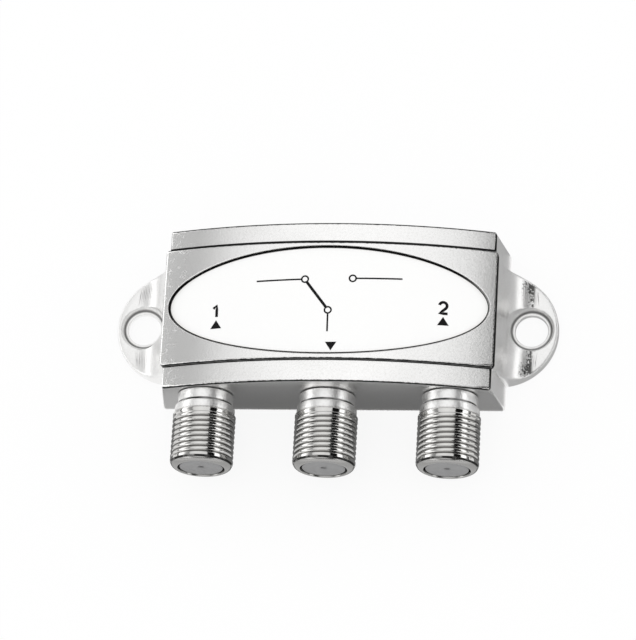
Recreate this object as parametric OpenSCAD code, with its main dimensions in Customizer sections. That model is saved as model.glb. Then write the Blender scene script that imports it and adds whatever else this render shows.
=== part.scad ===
// Two-way satellite switch. A plated die-cast housing carries three threaded
// coaxial ports along its front wall, a screw ear at each end and an oval label
// in a raised panel on its arched top. A steel plate staked into the foot closes
// the housing over a small circuit board.
// Millimetres, +Z up, foot on z = 0, ports facing -Y. The origin lies on the foot
// midway between the two ear holes.

/* [Housing] */
// Length of the housing at its foot
foot_l = 52.2; // [50.6:0.1:58]
// Length of the housing at the top of its end walls
crown_l = 49.5; // [46:0.1:50]
// Depth of the housing from front wall to back wall
body_d = 25.2; // [23:0.1:32]
// Height of the arched shoulders at the two ends
end_h = 9.8; // [8.8:0.1:12]
// Height of the arched shoulders at the middle
mid_h = 13.6; // [12.8:0.1:17]
// Thickness of the cast walls and roof
wall = 1.8; // [1.4:0.1:2.2]
// Radius of the rounded top edges
edge_r = 0.45; // [0.2:0.05:0.8]
// Radius of the four upright corners
corner_r = 0.5; // [0.3:0.1:1.2]

/* [Raised panel] */
// Width of the shoulder in front of the panel and behind it
shoulder_w = 3.3; // [2.8:0.1:4]
// How far each end of the panel stands past the end wall
panel_over = 0.5; // [0.3:0.05:0.8]
// Height of the panel above the shoulders
panel_rise = 0.7; // [0.4:0.05:1.2]
// Radius of the panel's corners, seen from above
panel_corner_r = 0.8; // [0.4:0.1:1.6]
// Metal left between the oval recess and the panel's ends
oval_end_margin = 0.9; // [0.6:0.1:3]
// Metal left between the oval recess and the panel's long edges
oval_side_margin = 0.65; // [0.5:0.05:2]
// Depth of the oval recess
oval_depth = 0.6; // [0.3:0.05:0.8]
// Thickness of the label
label_t = 0.2; // [0.1:0.05:0.3]

/* [Screw ears] */
// Distance between the two screw holes
hole_spacing = 59.4; // [58.4:0.1:66]
// Diameter of the screw holes
hole_d = 5; // [4.2:0.1:5.6]
// Metal from a screw hole's centre to the ear's tip
ear_margin = 4.1; // [3.9:0.1:5]
// Thickness of the ears
ear_t = 1.5; // [1.3:0.1:2.4]
// How far each side of an ear lies inside the panel's side
ear_inset = 0.5; // [0.2:0.1:1]
// How far each end of the panel stands past the wall above the ear
ear_lip = 0.3; // [0.2:0.05:0.4]
// Lean of the wall above each ear, in degrees
ear_lean = 13; // [8:1:15]
// Radius of the hollow where that wall meets the ear
ear_fillet_r = 5; // [2.6:0.1:5.6]
// Diameter of the sunk rim around each screw hole
sunk_rim_d = 6.9; // [6.4:0.1:7.4]
// Diameter of the sunk floor around each screw hole
sunk_floor_d = 6; // [5.8:0.1:6.3]
// Depth of the sunk floor below the ear's top
sunk_depth = 0.7; // [0.4:0.05:0.8]

/* [Ports] */
// Distance between neighbouring ports
port_pitch = 18.5; // [17:0.1:18.8]
// Height of the port axes above the foot
port_h = 6.4; // [6.2:0.05:7]
// Length of a port in front of the housing
port_l = 11.6; // [9:0.1:14]
// Outside diameter of the port thread
thread_d = 9.45; // [9.3:0.01:9.5]
// Threads to the inch
threads_per_inch = 32; // [32:1:36]
// Depth of the thread
thread_depth = 0.45; // [0.3:0.01:0.48]
// Diameter of the plain neck beside the housing
neck_d = 8.3; // [7.6:0.1:8.4]
// Length of the plain neck
neck_l = 1.9; // [0.8:0.1:3]
// Diameter of the collar behind the thread
collar_d = 9; // [8.8:0.05:9.4]
// Width of the collar
collar_w = 0.8; // [0.6:0.1:1.6]
// Width of the relief between the collar and the thread
relief_w = 0.35; // [0.3:0.05:1.4]
// Radius of the round lip at the port's mouth
lip_r = 1.1; // [0.4:0.05:1.2]
// Diameter of the shank pressed into the front wall
shank_d = 7.2; // [7:0.1:7.4]
// Diameter of the insulator's face
insulator_d = 6.9; // [6.7:0.05:7.3]
// Depth of the seat that holds the insulator's face
insulator_seat = 1.9; // [1.4:0.1:2.4]
// Diameter of the hole for the cable's centre wire
wire_hole_d = 1.3; // [1.1:0.05:1.6]

/* [Spring contacts] */
// Thickness of a contact leaf
leaf_t = 0.2; // [0.15:0.01:0.25]
// Width of a contact leaf
leaf_w = 1.4; // [1:0.1:1.6]
// Length of a contact leaf from its root to its nip
leaf_l = 4.85; // [4:0.05:5.5]
// Gap between two closed leaves at the nip
leaf_gap = 0.4; // [0.2:0.05:0.6]
// Radius of the rolled root a leaf turns on
root_r = 0.3; // [0.25:0.01:0.32]

/* [Rear plate and circuit board] */
// How far the rear plate lies inside the foot
plate_sink = 0.4; // [0.3:0.05:0.6]
// Thickness of the rear plate
plate_t = 0.8; // [0.5:0.1:1]
// Thickness of the seal under the rear plate
seal_t = 0.4; // [0.2:0.05:0.6]
// Width of the ledge that carries the seal
ledge_w = 0.8; // [0.6:0.05:0.9]
// Height of the circuit board's underside above the foot
board_h = 3.2; // [3.1:0.1:3.6]
// Thickness of the circuit board
board_t = 1; // [0.8:0.1:1.2]
// Gap between the circuit board and the walls
board_gap = 0.3; // [0.2:0.05:0.6]
// Diameter of the board posts
post_d = 4.6; // [4:0.1:5]
// Diameter of the board screws
screw_d = 2; // [1.6:0.1:2.2]

/* [Board components] */
// Diameter of a choke's drum
choke_d = 3.8; // [3:0.1:4.2]
// Height of a choke's drum
choke_h = 3.2; // [2.4:0.1:3.6]
// Diameter of the storage capacitor's can
can_d = 4.6; // [4:0.1:5]
// Height of the storage capacitor
can_h = 5; // [4:0.1:5.4]

/* [Output] */
// Sub-part to show

/* [Hidden] */
$fn = 96;
// fit of pressed-in pieces, and of rolled roots in their sockets
press = 0.02;
run = 0.05;
// steps in each small rounded edge
round_n = 6;
// the arch: a circle through the tops of the two end walls and the crown
arch_r = (pow(crown_l / 2, 2) + pow(mid_h - end_h, 2)) / (2 * (mid_h - end_h));
arch_z = mid_h - arch_r;
end_lean = atan((foot_l - crown_l) / 2 / end_h);
panel_l = crown_l + 2 * panel_over;
panel_d = body_d - 2 * shoulder_w;
panel_r = arch_r + panel_rise;
oval_l = panel_l - 2 * oval_end_margin;
oval_d = panel_d - 2 * oval_side_margin;
floor_r = panel_r - oval_depth;
ear_r = panel_d / 2 - ear_inset;
ear_tip = hole_spacing / 2 + ear_margin;
cavity_l = crown_l - 2 * wall;
cavity_d = body_d - 2 * wall;
rebate_l = cavity_l + 2 * ledge_w;
rebate_d = cavity_d + 2 * ledge_w;
ledge_z = plate_sink + plate_t + seal_t;
board_l = cavity_l - 2 * board_gap;
board_d = cavity_d - 2 * board_gap;
board_top = board_h + board_t;
post_at = [cavity_l / 2 - post_d / 2 - 1.2, cavity_d / 2 - post_d / 2 - 1.2];
// ports, seen along their own axes with 0 at the front wall's outer face
port_x = [-port_pitch, 0, port_pitch];
thread_pitch = 25.4 / threads_per_inch;
crest_w = thread_pitch / 8;
flank_w = thread_depth * tan(30);
thread_z = neck_l + collar_w + relief_w;
core_r = thread_d / 2 - thread_depth;
seat_r = insulator_d / 2 + press;
mouth_r = min(lip_r, thread_d / 2 - seat_r - 0.1);
thread_n = floor((port_l - mouth_r - flank_w - thread_z) / thread_pitch);
lip_z = thread_z + thread_n * thread_pitch;
seat_z = port_l - insulator_seat;
bore_r = shank_d / 2 - 0.55;
cell_r = bore_r - 0.85;
face_z = port_l - 0.15;
// spring contacts: root centres, nip and tail on the same axes
socket_r = root_r + run;
root_x = socket_r + 0.6;
root_z = socket_r + 0.4;
nip_z = root_z + leaf_l;
tip_z = min(nip_z + 1.4, seat_z - 0.4);
tail_z = -wall - board_gap - 2.2;
tail_y = -body_d / 2 - tail_z;

// points along an arc in a plane
function arc(c, r, a0, a1, n = round_n) =
  [for (i = [0:n]) c + r * [cos(a0 + (a1 - a0) * i / n), sin(a0 + (a1 - a0) * i / n)]];

// the rounded edge where an end wall meets an arch of radius r, last point above the arch
function end_edge(x, lean, r, round_r) =
  let (m = tan(lean),
       xo = x - round_r / cos(lean),
       b = m * xo + arch_z,
       z = (b + sqrt(b * b - (1 + m * m) * (xo * xo + arch_z * arch_z - pow(r - round_r, 2)))) / (1 + m * m),
       c = [xo - m * z, z],
       a = atan2(z - arch_z, c[0]))
  concat(arc(c, round_r, lean, a), [c + (round_r + 1) * [cos(a), sin(a)]]);

function mirrored(points) = [for (i = [len(points) - 1:-1:0]) [-points[i][0], points[i][1]]];

// a band turned about the arch's own axis, with rounded outer edges
module arched_band(r0, r1, depth, round_r) {
  translate([0, 0, arch_z])
    rotate([-90, 0, 0])
      rotate_extrude()
        polygon(concat(
          [[r0, -depth / 2]],
          round_r > 0
            ? concat(arc([r1 - round_r, -depth / 2 + round_r], round_r, -90, 0),
                     arc([r1 - round_r, depth / 2 - round_r], round_r, 0, 90))
            : [[r1, -depth / 2], [r1, depth / 2]],
          [[r0, depth / 2]]));
}

// everything between two end walls, run through the full depth
module end_to_end(x, lean, r, round_r) {
  side = concat([[x, 0]], end_edge(x, lean, r, round_r));
  rotate([90, 0, 0])
    linear_extrude(height = body_d + 2, center = true)
      polygon(concat(side, [[0, mid_h + 5]], mirrored(side)));
}

// the sliver outside one rounded upright corner, standing along the leaning edge
module corner_sliver() {
  translate([foot_l / 2, -body_d / 2, 0])
    rotate([0, -end_lean, 0])
      translate([0, 0, -1])
        linear_extrude(height = mid_h + 2)
          polygon(concat(
            [[-corner_r, -1], [1, -1], [1, corner_r]],
            arc([-corner_r, corner_r], corner_r, 0, -90)));
}

module rounded_plate(l, d, r, t) {
  linear_extrude(height = t)
    polygon(concat(
      arc([l / 2 - r, d / 2 - r], r, 0, 90),
      arc([r - l / 2, d / 2 - r], r, 90, 180),
      arc([r - l / 2, r - d / 2], r, 180, 270),
      arc([l / 2 - r, r - d / 2], r, 270, 360)));
}

module oval_post(l, d) {
  linear_extrude(height = mid_h + 5)
    polygon([for (i = [0:179]) [l / 2 * cos(2 * i), d / 2 * sin(2 * i)]]);
}

// box under the shoulders: arched top, leaning ends, rounded corners
module box_body() {
  difference() {
    intersection() {
      arched_band(arch_r / 2, arch_r, body_d, edge_r);
      end_to_end(foot_l / 2, end_lean, arch_r, edge_r);
    }
    for (sx = [0, 1], sy = [0, 1])
      mirror([sx, 0, 0]) mirror([0, sy, 0]) corner_sliver();
  }
}

// raised panel, sunk into the box so that only its rise shows
module panel() {
  intersection() {
    arched_band(arch_r - wall / 2, panel_r, panel_d, edge_r);
    end_to_end(panel_l / 2, 0, panel_r, edge_r);
    rounded_plate(panel_l, panel_d, panel_corner_r, mid_h + 4);
  }
}

// the two ears and the leaning walls above them, in one piece through the box:
// the profile seen from the front, cut to the round-ended outline seen from above
module ears() {
  top = end_h - 0.4;
  top_x = panel_l / 2 - ear_lip;
  centre = [top_x + (top - ear_t - ear_fillet_r) * tan(ear_lean) + ear_fillet_r / cos(ear_lean),
            ear_t + ear_fillet_r];
  side = concat([[ear_tip + 2, 0], [ear_tip + 2, ear_t]],
                arc(centre, ear_fillet_r, 270, 180 + ear_lean, 24),
                [[top_x, top]]);
  intersection() {
    rotate([90, 0, 0])
      linear_extrude(height = body_d, center = true) polygon(concat(side, mirrored(side)));
    linear_extrude(height = mid_h) {
      square([2 * (ear_tip - ear_r), 2 * ear_r], center = true);
      for (s = [-1, 1]) translate([s * (ear_tip - ear_r), 0]) circle(r = ear_r);
    }
  }
}

module ear_hole() {
  translate([0, 0, -1]) cylinder(d = hole_d, h = ear_t + 1);
  translate([0, 0, ear_t - sunk_depth])
    cylinder(d1 = sunk_floor_d, d2 = sunk_rim_d, h = sunk_depth);
  translate([0, 0, ear_t]) cylinder(d = sunk_rim_d, h = ear_fillet_r + 1);
}

// hollow inside, the rebate for the rear plate and the three port holes
module hollow() {
  intersection() {
    arched_band(arch_r / 2, arch_r - wall, cavity_d, 0);
    translate([-cavity_l / 2, -body_d / 2, -1]) cube([cavity_l, body_d, mid_h + 1]);
  }
  translate([-rebate_l / 2, -rebate_d / 2, -1]) cube([rebate_l, rebate_d, ledge_z + 1]);
  for (x = port_x)
    translate([x, -body_d / 2 - 1, port_h])
      rotate([-90, 0, 0]) cylinder(d = shank_d + 2 * press, h = wall + 2);
}

// two posts hanging from the roof, each drilled for a board screw
module board_posts() {
  for (s = [-1, 1])
    difference() {
      intersection() {
        translate([s * post_at[0], post_at[1], board_top]) cylinder(d = post_d, h = mid_h);
        arched_band(arch_r / 2, arch_r - wall / 2, body_d - 2, 0);
      }
      translate([s * post_at[0], post_at[1], board_top - 1])
        cylinder(d = screw_d + 2 * press, h = 4.2);
    }
}

// lips peened over the rear plate's edge
module stakes() {
  for (s = [0, 1], x = [-foot_l / 3.4, 0, foot_l / 3.4])
    mirror([0, s, 0])
      translate([x - 1.5, rebate_d / 2 - 0.5, plate_sink - 0.3]) cube([3, 0.8, 0.3]);
  for (s = [0, 1])
    mirror([s, 0, 0])
      translate([rebate_l / 2 - 0.5, -1.5, plate_sink - 0.3]) cube([0.8, 3, 0.3]);
}

module housing() {
  color("silver") {
    difference() {
      union() {
        box_body();
        panel();
        ears();
      }
      intersection() {
        arched_band(floor_r, panel_r + 3, body_d, 0);
        oval_post(oval_l, oval_d);
      }
      for (s = [-1, 1]) translate([s * hole_spacing / 2, 0, 0]) ear_hole();
      hollow();
    }
    board_posts();
    stakes();
  }
}

// oval printed label, bent to the arch and stuck to the recess floor
module label() {
  color("white")
    intersection() {
      arched_band(floor_r, floor_r + label_t, body_d, 0);
      oval_post(oval_l - 0.4, oval_d - 0.4);
    }
}

// sheet steel plate held in the foot by the stakes
module rear_plate() {
  color("lightgray")
    translate([0, 0, plate_sink])
      rounded_plate(rebate_l - 2 * press, rebate_d - 2 * press, 0.3, plate_t);
}

// flat sealing frame between the plate and the ledge
module plate_seal() {
  color("dimgray")
    translate([0, 0, plate_sink + plate_t])
      difference() {
        rounded_plate(rebate_l - 2 * press, rebate_d - 2 * press, 0.3, seal_t);
        translate([-cavity_l / 2, -cavity_d / 2, -1]) cube([cavity_l, cavity_d, seal_t + 2]);
      }
}

// puts a piece drawn along +Z on the axis of one port
module at_port(i) {
  translate([port_x[i], -body_d / 2, port_h]) rotate([90, 0, 0]) children();
}

// turned barrel: shank, neck, collar, thread crests one pitch apart, round lip, bore
module barrel() {
  bevel = 0.2;
  color("gainsboro")
    rotate_extrude()
      polygon(concat(
        [[bore_r, -wall], [shank_d / 2, -wall], [shank_d / 2, 0], [neck_d / 2, 0], [neck_d / 2, neck_l],
         [collar_d / 2 - bevel, neck_l], [collar_d / 2, neck_l + bevel],
         [collar_d / 2, neck_l + collar_w - bevel], [collar_d / 2 - bevel, neck_l + collar_w],
         [core_r, neck_l + collar_w]],
        [for (k = [0:thread_n - 1], p = [[0, 0], [1, flank_w], [1, flank_w + crest_w], [0, 2 * flank_w + crest_w]])
          [core_r + p[0] * thread_depth, thread_z + k * thread_pitch + p[1]]],
        [[core_r, lip_z], [thread_d / 2, lip_z + flank_w]],
        arc([thread_d / 2 - mouth_r, port_l - mouth_r], mouth_r, 0, 90),
        [[seat_r, port_l], [seat_r, seat_z], [bore_r, seat_z]]));
}

module port_barrel_1() { at_port(0) barrel(); }
module port_barrel_2() { at_port(1) barrel(); }
module port_barrel_3() { at_port(2) barrel(); }

// moulded insulator: face with the wire hole, thin sleeve behind it
module insulator() {
  color("darkgray")
    rotate_extrude()
      polygon([[wire_hole_d / 2, seat_z], [cell_r, seat_z], [cell_r, -wall],
               [bore_r - press, -wall], [bore_r - press, seat_z],
               [insulator_d / 2, seat_z], [insulator_d / 2, face_z],
               [wire_hole_d / 2 + 0.3, face_z], [wire_hole_d / 2, face_z - 0.3]]);
}

module port_insulator_1() { at_port(0) insulator(); }
module port_insulator_2() { at_port(1) insulator(); }
module port_insulator_3() { at_port(2) insulator(); }

// round contact base with two sockets in front and a tail down through the board
module contact_base() {
  color("goldenrod") {
    translate([0, 0, -0.6]) cylinder(r = cell_r - press, h = 0.6);
    for (s = [-1, 1])
      difference() {
        translate([s * root_x - socket_r - 0.2, -0.8, -0.1])
          cube([2 * socket_r + 0.4, 1.6, root_z + socket_r + 0.3]);
        translate([s * root_x, 2, root_z]) rotate([90, 0, 0]) cylinder(r = socket_r, h = 4);
        translate([s * root_x - leaf_t / 2 - 0.1, -2, root_z]) cube([leaf_t + 0.2, 4, 2]);
      }
    translate([-0.5, -0.175, tail_z - 0.175]) cube([1, 0.35, -tail_z]);
    translate([-0.5, board_h - 0.6 - port_h, tail_z - 0.175]) cube([1, port_h - board_h + 0.6 + 0.175, 0.35]);
  }
}

module contact_base_1() { at_port(0) contact_base(); }
module contact_base_2() { at_port(1) contact_base(); }
module contact_base_3() { at_port(2) contact_base(); }

// spring leaf on the right of the wire: rolled root, nip, flared tip
module contact_leaf() {
  nip_x = (leaf_gap + leaf_t) / 2;
  tip_x = nip_x + 0.45;
  color("gold")
    rotate([90, 0, 0]) {
      translate([root_x, root_z, 0]) cylinder(r = root_r, h = leaf_w, center = true);
      linear_extrude(height = leaf_w, center = true)
        polygon([[root_x - leaf_t / 2, root_z], [nip_x - leaf_t / 2, nip_z], [tip_x - leaf_t / 2, tip_z],
                 [tip_x + leaf_t / 2, tip_z], [nip_x + leaf_t / 2, nip_z], [root_x + leaf_t / 2, root_z]]);
    }
}

module contact_leaf_1_left() { at_port(0) mirror([1, 0, 0]) contact_leaf(); }
module contact_leaf_1_right() { at_port(0) contact_leaf(); }
module contact_leaf_2_left() { at_port(1) mirror([1, 0, 0]) contact_leaf(); }
module contact_leaf_2_right() { at_port(1) contact_leaf(); }
module contact_leaf_3_left() { at_port(2) mirror([1, 0, 0]) contact_leaf(); }
module contact_leaf_3_right() { at_port(2) contact_leaf(); }

// board hung from the posts, with holes for the screws and the contact tails
module circuit_board() {
  color("darkgreen")
    difference() {
      translate([-board_l / 2, -board_d / 2, board_h]) cube([board_l, board_d, board_t]);
      for (s = [-1, 1])
        translate([s * post_at[0], post_at[1], board_h - 1]) cylinder(d = screw_d + 0.4, h = board_t + 2);
      for (x = port_x) translate([x, tail_y, board_h - 1]) cylinder(r = 0.6, h = board_t + 2);
    }
}

// pan-head screws driven up through the board into the posts
module board_screws() {
  color("silver")
    for (s = [-1, 1])
      translate([s * post_at[0], post_at[1], board_h])
        difference() {
          union() {
            translate([0, 0, -1.2]) cylinder(r1 = screw_d * 0.75, r2 = screw_d * 0.95, h = 0.3);
            translate([0, 0, -0.9]) cylinder(r = screw_d * 0.95, h = 0.9);
            cylinder(d = screw_d, h = board_t + 2.8);
          }
          for (a = [0, 90])
            rotate([0, 0, a]) translate([-screw_d / 2, -0.2, -2]) cube([screw_d, 0.4, 1.3]);
        }
}

// solder cones around the contact tails, on the board's underside
module tail_solder() {
  color("lightsteelblue")
    for (x = port_x)
      translate([x, tail_y, board_h])
        rotate_extrude() polygon([[0.55, 0], [1.1, 0], [0.65, -0.5], [0.55, -0.5]]);
}

// a bent lead standing on the board, reaching in -Y from a package side
module lead(w) {
  translate([-w / 2, -1, 0]) cube([w, 0.7, 0.18]);
  translate([-w / 2, -0.45, 0]) cube([w, 0.18, 0.8]);
  translate([-w / 2, -0.45, 0.62]) cube([w, 0.6, 0.18]);
}

// eight-lead package that reads the receiver's signals
module control_chip() {
  color("black")
    translate([-board_l * 0.15, board_d * 0.2, board_top]) {
      translate([-2.45, -1.95, 0.1]) cube([4.9, 3.9, 1.4]);
      for (s = [0, 1], k = [-1.5:1:1.5])
        rotate([0, 0, 180 * s]) translate([k * 1.27, -1.95, 0]) lead(0.4);
    }
}

// three-lead power package with a cooling tab
module regulator() {
  color("black")
    translate([board_l * 0.31, board_d * 0.1, board_top]) {
      translate([-2.25, -1.25, 0]) cube([4.5, 2.5, 1.5]);
      translate([-0.8, 1, 0]) cube([1.6, 0.95, 0.4]);
      for (k = [-1.5, 0, 1.5]) translate([k - 0.24, -2.05, 0]) cube([0.48, 1, 0.4]);
    }
}

module small_package() {
  translate([-1.45, -0.65, 0.05]) cube([2.9, 1.3, 1]);
  for (k = [-0.95, 0.95]) translate([k, -0.6, 0]) lead(0.4);
  rotate([0, 0, 180]) translate([0, -0.6, 0]) lead(0.4);
}

// diode pairs that pass or block each port's signal
module switching_diodes() {
  color("dimgray")
    for (s = [-1, 1], p = [[0.31, -0.22], [0.69, -0.22]])
      translate([s * port_pitch * p[0], p[1] * board_d, board_top]) small_package();
}

// transistors that feed the diodes
module driver_transistors() {
  color("dimgray")
    for (y = [0.08, 0.29])
      translate([-port_pitch * 0.69, y * board_d, board_top]) small_package();
}

// drum chokes, one behind each port, that pass the supply and stop the signal
module chokes() {
  r = choke_d / 2;
  rim = 0.6;
  color("saddlebrown")
    for (x = port_x)
      translate([x, tail_y + 2.2 + r, board_top])
        rotate_extrude()
          polygon([[0, 0], [r, 0], [r, rim], [r - 0.4, rim], [r - 0.4, choke_h - rim], [r, choke_h - rim],
                   [r, choke_h], [0, choke_h]]);
}

// surface-mount electrolytic on its square foot
module storage_capacitor() {
  color("slategray")
    translate([board_l * 0.17, board_d * 0.25, board_top]) {
      rounded_plate(can_d + 0.6, can_d + 0.6, 0.8, 0.9);
      translate([0, 0, 0.4]) cylinder(d = can_d, h = can_h - 0.4);
    }
}

// three-pad ceramic resonator that times the control chip
module resonator() {
  color("ivory")
    translate([board_l * 0.02, board_d * 0.3, board_top]) {
      rotate([0, 0, 90]) {
        translate([-2.2, -1, 0]) cube([4.4, 2, 1.1]);
        for (k = [-1.5, 0, 1.5]) translate([k - 0.4, -1.1, 0]) cube([0.8, 2.2, 0.9]);
      }
    }
}

// chip with a capped end each side
module chip(h) {
  translate([-0.8, -0.6, 0.05]) cube([1.6, 1.2, h - 0.1]);
  for (s = [-1, 1]) translate([s * 0.8 - 0.25, -0.65, 0]) cube([0.5, 1.3, h]);
}

// ceramic chip capacitors in the signal paths
module chip_capacitors() {
  color("peru")
    for (s = [-1, 1], p = [[0.3, -0.41], [0.7, -0.41], [0.3, -0.05], [0.66, -0.05]])
      translate([s * port_pitch * p[0], p[1] * board_d, board_top]) chip(0.9);
}

// chip resistors along the back of the board
module chip_resistors() {
  color("black")
    for (x = [-0.27, -0.2, -0.13, -0.06, 0.28, 0.35])
      translate([x * board_l, board_d * 0.43, board_top]) rotate([0, 0, 90]) chip(0.5);
}

housing();
label();
rear_plate();
plate_seal();
port_barrel_1();
port_barrel_2();
port_barrel_3();
port_insulator_1();
port_insulator_2();
port_insulator_3();
contact_base_1();
contact_base_2();
contact_base_3();
contact_leaf_1_left();
contact_leaf_1_right();
contact_leaf_2_left();
contact_leaf_2_right();
contact_leaf_3_left();
contact_leaf_3_right();
circuit_board();
board_screws();
tail_solder();
control_chip();
regulator();
switching_diodes();
driver_transistors();
chokes();
storage_capacitor();
resonator();
chip_capacitors();
chip_resistors();
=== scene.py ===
import math

import bmesh
import bpy
from mathutils import Matrix, Vector


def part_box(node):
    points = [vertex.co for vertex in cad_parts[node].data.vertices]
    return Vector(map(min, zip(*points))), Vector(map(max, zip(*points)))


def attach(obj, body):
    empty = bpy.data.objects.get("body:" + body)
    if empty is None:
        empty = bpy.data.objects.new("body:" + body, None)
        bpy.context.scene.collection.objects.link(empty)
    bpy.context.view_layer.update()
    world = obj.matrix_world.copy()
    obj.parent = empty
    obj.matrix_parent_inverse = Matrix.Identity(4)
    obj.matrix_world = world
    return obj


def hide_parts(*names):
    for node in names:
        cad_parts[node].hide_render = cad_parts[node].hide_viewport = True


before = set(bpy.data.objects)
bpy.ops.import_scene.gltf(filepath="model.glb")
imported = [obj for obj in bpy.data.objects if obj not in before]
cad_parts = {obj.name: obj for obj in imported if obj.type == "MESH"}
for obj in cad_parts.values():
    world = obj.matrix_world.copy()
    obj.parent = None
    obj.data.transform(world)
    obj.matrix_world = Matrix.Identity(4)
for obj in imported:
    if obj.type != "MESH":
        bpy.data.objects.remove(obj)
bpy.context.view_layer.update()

# Housing: one zinc die casting, nickel plated. The die left its arched top satin and its walls smoother.
# Painted dark lines along the top's long edges and right end stand in for dark reflections, and painted shade
# darkens its creases and recesses. It carries the ports, label, board and plate.
mm = 0.001
housing_low, housing_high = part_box("housing")
front_y = housing_low[1]
arch_half, arch_sag, panel_rise = 24.75 * mm, 3.8 * mm, 0.7 * mm
arch_r = (arch_half ** 2 + arch_sag ** 2) / (2 * arch_sag)
arch_z = housing_high[2] - panel_rise - arch_r
panel_r, panel_side = arch_r + panel_rise, 9.3 * mm
oval_x, oval_y, oval_round = 24.35 * mm, 8.65 * mm, 0.12 * mm
end_wall_x, end_edge_z = 25.2 * mm, 9.1 * mm
ear_r, ear_top, ear_round = 8.8 * mm, 5.8 * mm, 0.4 * mm
ear_middle = housing_high[0] - ear_r
ear_hole_x, sunk_rim_r, sunk_floor_r, sunk_round = 29.7 * mm, 3.45 * mm, 3.0 * mm, 0.14 * mm
arch_slack, oval_slack, ear_slack = 0.03 * mm, 0.1 * mm, 0.05 * mm


def from_arch_axis(point):
    return math.hypot(point.x, point.z - arch_z)


def on_oval_rim(point):
    return abs(from_arch_axis(point) - panel_r) < arch_slack and abs(point.x) < oval_x + oval_slack


def on_ear_outline(point):
    out = max(abs(point.x) - ear_middle, 0)
    return abs(math.hypot(out, point.y) - ear_r) < ear_slack and point.z < ear_top


def on_ear_hole(point):
    return math.hypot(abs(point.x) - ear_hole_x, point.y) < sunk_rim_r + ear_slack


def round_edges(shape, belongs, radius, segments):
    """Rounds the crisp outer edges, above the foot, whose middle belongs to one line of the casting."""
    crisp_turn, foot_clear = math.radians(35), 0.1 * mm
    edges = []
    for edge in shape.edges:
        middle = (edge.verts[0].co + edge.verts[1].co) / 2
        crisp = edge.is_convex and edge.calc_face_angle(0) > crisp_turn
        if crisp and middle.z > foot_clear and belongs(middle):
            edges.append(edge)
    bmesh.ops.bevel(shape, geom=edges, offset=radius, offset_type="OFFSET", segments=segments, profile=0.5,
                    affect="EDGES", clamp_overlap=False, loop_slide=True)


def add_piece(name, mesh):
    piece = bpy.data.objects.new(name, mesh)
    bpy.context.scene.collection.objects.link(piece)
    return piece


def smooth_mesh(shape, name, crisp):
    """Ends a shape as a mesh that is smooth except along edges that turn by more than crisp degrees."""
    for face in shape.faces:
        face.smooth = True
    for edge in shape.edges:
        edge.smooth = edge.calc_face_angle(0) < math.radians(crisp)
    mesh = bpy.data.meshes.new(name)
    shape.to_mesh(mesh)
    shape.free()
    return mesh


def even_arch(mesh):
    """Shades the two arched surfaces as true cylinders, past slivers that the rim's rounding left in them."""
    depth_slack, outward = 0.05 * mm, 0.995
    shading = [normal.vector.copy() for normal in mesh.corner_normals]
    for face in mesh.polygons:
        out = from_arch_axis(face.center)
        radial = Vector((face.center.x, 0, face.center.z - arch_z)) / out
        if out < arch_r - depth_slack or face.normal.dot(radial) < outward:
            continue
        for corner_index in face.loop_indices:
            point = mesh.vertices[mesh.loops[corner_index].vertex_index].co
            shading[corner_index] = Vector((point.x, 0, point.z - arch_z)).normalized()
    mesh.normals_split_custom_set(shading)


def rounded_casting(source):
    """The housing's own surface with its flat faces joined up and its outer edges rounded."""
    weld_gap, flat_turn, crisp = 0.002 * mm, math.radians(0.4), 50
    shape = bmesh.new()
    shape.from_mesh(source.data)
    bmesh.ops.remove_doubles(shape, verts=shape.verts, dist=weld_gap)
    bmesh.ops.dissolve_degenerate(shape, dist=weld_gap, edges=shape.edges)
    bmesh.ops.dissolve_limit(shape, angle_limit=flat_turn, verts=shape.verts, edges=shape.edges)
    round_edges(shape, on_oval_rim, oval_round, 3)
    round_edges(shape, on_ear_outline, ear_round, 5)
    round_edges(shape, on_ear_hole, sunk_round, 3)
    piece = add_piece("casting", smooth_mesh(shape, "casting", crisp))
    piece.data.attributes.remove(piece.data.attributes["custom_normal"])
    even_arch(piece.data)
    return piece


class Wire:
    """A shader socket that takes part in sums: each operator adds a Math node to its tree."""

    def __init__(self, tree, socket=None):
        self.tree = tree
        self.socket = socket

    def node(self, kind, settings=None, sockets=None, out=0):
        """Adds any node: first its settings, then the values or links of its sockets."""
        made = self.tree.nodes.new("ShaderNode" + kind)
        for name, value in (settings or {}).items():
            if name == "stops":
                self.set_stops(made.color_ramp, value)
            else:
                setattr(made, name, value)
        for name, value in (sockets or {}).items():
            if isinstance(value, Wire):
                self.tree.links.new(value.socket, made.inputs[name])
            else:
                made.inputs[name].default_value = value
        return Wire(self.tree, made.outputs[out]) if made.outputs else None

    def set_stops(self, ramp, stops):
        while len(ramp.elements) < len(stops):
            ramp.elements.new(1.0)
        for element, (place, level) in zip(ramp.elements, stops):
            element.position = place
            element.color = (level, level, level, 1)

    def maths(self, operation, first, second=0.0):
        return self.node("Math", {"operation": operation}, {0: first, 1: second})

    def __add__(self, other):
        return self.maths("ADD", self, other)

    def __radd__(self, other):
        return self.maths("ADD", other, self)

    def __sub__(self, other):
        return self.maths("SUBTRACT", self, other)

    def __rsub__(self, other):
        return self.maths("SUBTRACT", other, self)

    def __mul__(self, other):
        return self.maths("MULTIPLY", self, other)

    def __rmul__(self, other):
        return self.maths("MULTIPLY", other, self)

    def __abs__(self):
        return self.maths("ABSOLUTE", self)


def new_finish(name):
    made = bpy.data.materials.new(name)
    made.use_nodes = True
    made.node_tree.nodes.clear()
    return made, Wire(made.node_tree)


def shade(wire, sockets):
    surface = wire.node("BsdfPrincipled", {}, sockets)
    wire.node("OutputMaterial", {}, {"Surface": surface})


def surface_point(wire):
    return wire.node("TexCoord", {}, {}, "Object")


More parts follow.
